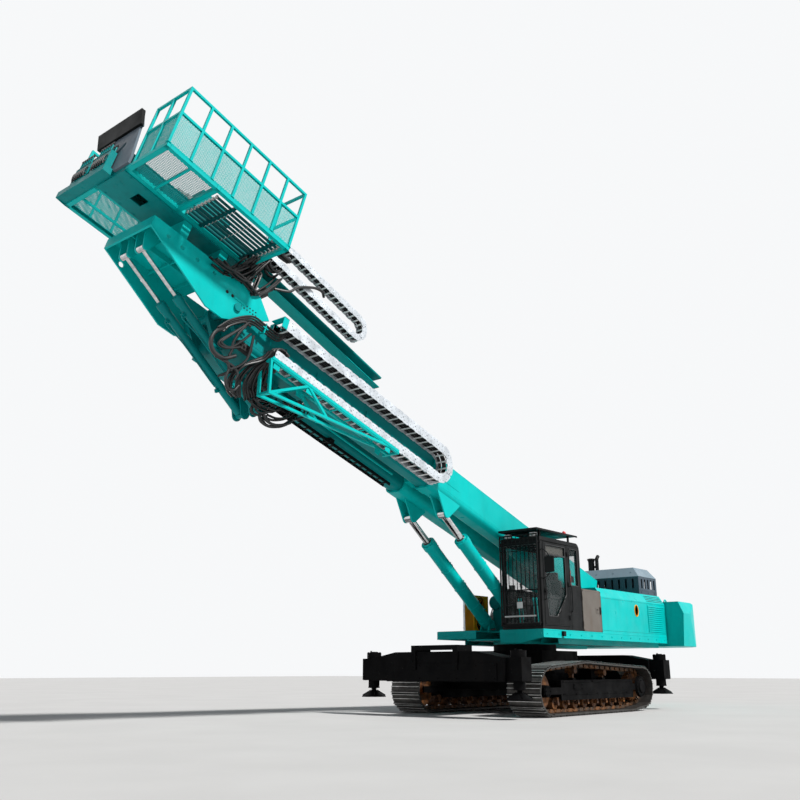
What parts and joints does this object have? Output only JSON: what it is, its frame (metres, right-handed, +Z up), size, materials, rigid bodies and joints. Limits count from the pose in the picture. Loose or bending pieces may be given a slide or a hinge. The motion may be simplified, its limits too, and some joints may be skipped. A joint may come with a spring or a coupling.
{
  "type": "anchor drilling rig",
  "caption": "Tracked anchor drilling rig with twin telescopic booms, a tilting work platform with a drill mast, a cab, a hood and outrigger jacks.",
  "frame": {"origin": "on the ground, under the middle of the whole rig's box", "axes": "+X towards the booms' tips, +Y to the machine's left where the cab is, +Z up"},
  "size_m": [17.7639, 4.0798, 9.4289],
  "materials": {
    "teal_paint": "gloss",
    "teal_dark": "gloss",
    "black_paint": "satin",
    "track_steel": "worn",
    "roller_rust": "rusted",
    "chrome_rod": "polished",
    "cab_grey": "satin",
    "glass": "clear",
    "seat_vinyl": "matte",
    "lamp_white": "frosted",
    "beacon_red": "gloss",
    "box_grey": "satin",
    "slate_paint": "satin",
    "cooler_orange": "satin",
    "chain_zinc": "galvanised",
    "console_grey": "satin",
    "engine_iron": "matte",
    "drill_steel": "worn"
  },
  "bodies": {
    "undercarriage": {"lower_frame": "black_paint", "track_frame_left": "black_paint", "track_frame_right": "black_paint", "rollers_left": "roller_rust", "rollers_right": "roller_rust", "track_left": "track_steel", "track_right": "track_steel", "outrigger_front": "black_paint", "outrigger_rear": "black_paint"},
    "jack_front_left": {"jack_leg_front_left": "black_paint"},
    "jack_front_right": {"jack_leg_front_right": "black_paint"},
    "jack_rear_left": {"jack_leg_rear_left": "black_paint"},
    "jack_rear_right": {"jack_leg_rear_right": "black_paint"},
    "upper": {"deck_frame": "teal_paint", "boom_mount": "teal_paint", "cab_shell": "cab_grey", "cab_glass": "glass", "cab_guard": "cab_grey", "cab_lamps": "lamp_white", "beacon": "beacon_red", "cab_seat": "seat_vinyl", "tool_box": "box_grey", "engine_hood": "teal_paint", "engine_cover": "slate_paint", "exhaust_stack": "cab_grey", "counterweight": "teal_paint", "cooler": "cooler_orange", "oil_tank": "teal_dark", "engine_block": "engine_iron"},
    "cab_door_leaf": {"cab_door": "cab_grey", "cab_door_glass": "glass"},
    "tool_door_leaf": {"tool_door": "box_grey"},
    "boom": {"boom_base": "teal_paint"},
    "lift_tubes": {"lift_barrels": "teal_paint"},
    "lift_pistons": {"lift_rods": "chrome_rod"},
    "boom_extension": {"boom_inner": "teal_dark", "boom_head": "teal_dark", "drag_chain": "chain_zinc", "chain_truss": "teal_paint"},
    "tilt_tubes": {"tilt_barrels": "teal_dark"},
    "tilt_pistons": {"tilt_rods": "chrome_rod"},
    "head": {"head_channel": "teal_paint", "mast_beam": "teal_dark", "platform_floor": "teal_paint", "rod_rack": "teal_dark", "platform_rails": "teal_paint", "platform_mesh": "teal_paint", "lever_bank": "teal_dark", "control_console": "console_grey", "upper_chain": "chain_zinc"},
    "drill_carriage": {"drill_head": "teal_dark"},
    "chuck": {"drill_chuck": "drill_steel"}
  },
  "joints": [
    {"name": "slew", "type": "hinge", "parent": "undercarriage", "child": "upper", "pos_m": [-2.5315, 0, 1.42], "axis": [0, 0, 1], "continuous": true},
    {"name": "cab_door_hinge", "type": "hinge", "parent": "upper", "child": "cab_door_leaf", "pos_m": [-2.1975, 1.386, 2.63], "axis": [0, 0, 1], "range_deg": [0, 90]},
    {"name": "tool_door_hinge", "type": "hinge", "parent": "upper", "child": "tool_door_leaf", "pos_m": [-2.7885, 1.386, 2.145], "axis": [0, 0, -1], "range_deg": [0, 90]},
    {"name": "boom_luff", "type": "hinge", "parent": "upper", "child": "boom", "pos_m": [-5.13127, 0, 2.50011], "axis": [0, -1, 0], "range_deg": [-12, 16]},
    {"name": "lift_swing", "type": "hinge", "parent": "upper", "child": "lift_tubes", "pos_m": [-2.0815, 0, 1.87], "axis": [0, -1, 0], "range_deg": [-18.85, 24.97]},
    {"name": "lift_stroke", "type": "slide", "parent": "lift_tubes", "child": "lift_pistons", "axis": [0.8052, 0, 0.593], "range_m": [-0.5127, 0.682]},
    {"name": "telescope", "type": "slide", "parent": "boom", "child": "boom_extension", "axis": [0.9563, 0, 0.2924], "range_m": [-2, 0.9]},
    {"name": "head_tilt", "type": "hinge", "parent": "boom_extension", "child": "head", "pos_m": [6.54944, 0, 6.57947], "axis": [0, -1, 0], "range_deg": [-33, 5]},
    {"name": "tilt_swing", "type": "hinge", "parent": "boom_extension", "child": "tilt_tubes", "pos_m": [5.64539, 0, 5.09007], "axis": [0, -1, 0], "range_deg": [-16.77, 2.96]},
    {"name": "tilt_stroke", "type": "slide", "parent": "tilt_tubes", "child": "tilt_pistons", "axis": [0.7685, 0, 0.6399], "range_m": [-0.4295, 0.0693]},
    {"name": "drill_feed", "type": "slide", "parent": "head", "child": "drill_carriage", "axis": [0.9563, 0, 0.2924], "range_m": [-0.45, 0.9]},
    {"name": "chuck_spin", "type": "hinge", "parent": "drill_carriage", "child": "chuck", "pos_m": [7.33653, -0.18, 8.45139], "axis": [0.9563, 0, 0.2924], "continuous": true},
    {"name": "jack_front_left_slide", "type": "slide", "parent": "undercarriage", "child": "jack_front_left", "axis": [0, 0, -1], "range_m": [0, 0.34]},
    {"name": "jack_front_right_slide", "type": "slide", "parent": "undercarriage", "child": "jack_front_right", "axis": [0, 0, -1], "range_m": [0, 0.34]},
    {"name": "jack_rear_left_slide", "type": "slide", "parent": "undercarriage", "child": "jack_rear_left", "axis": [0, 0, -1], "range_m": [0, 0.34]},
    {"name": "jack_rear_right_slide", "type": "slide", "parent": "undercarriage", "child": "jack_rear_right", "axis": [0, 0, -1], "range_m": [0, 0.34]}
  ],
  "couplings": [
    {"joint": "lift_swing", "follows": "boom_luff", "ratio": 1.5292},
    {"joint": "lift_stroke", "follows": "boom_luff", "m_per_rad": 2.4242},
    {"joint": "tilt_swing", "follows": "head_tilt", "ratio": 0.49294},
    {"joint": "tilt_stroke", "follows": "head_tilt", "m_per_rad": 0.73705}
  ]
}
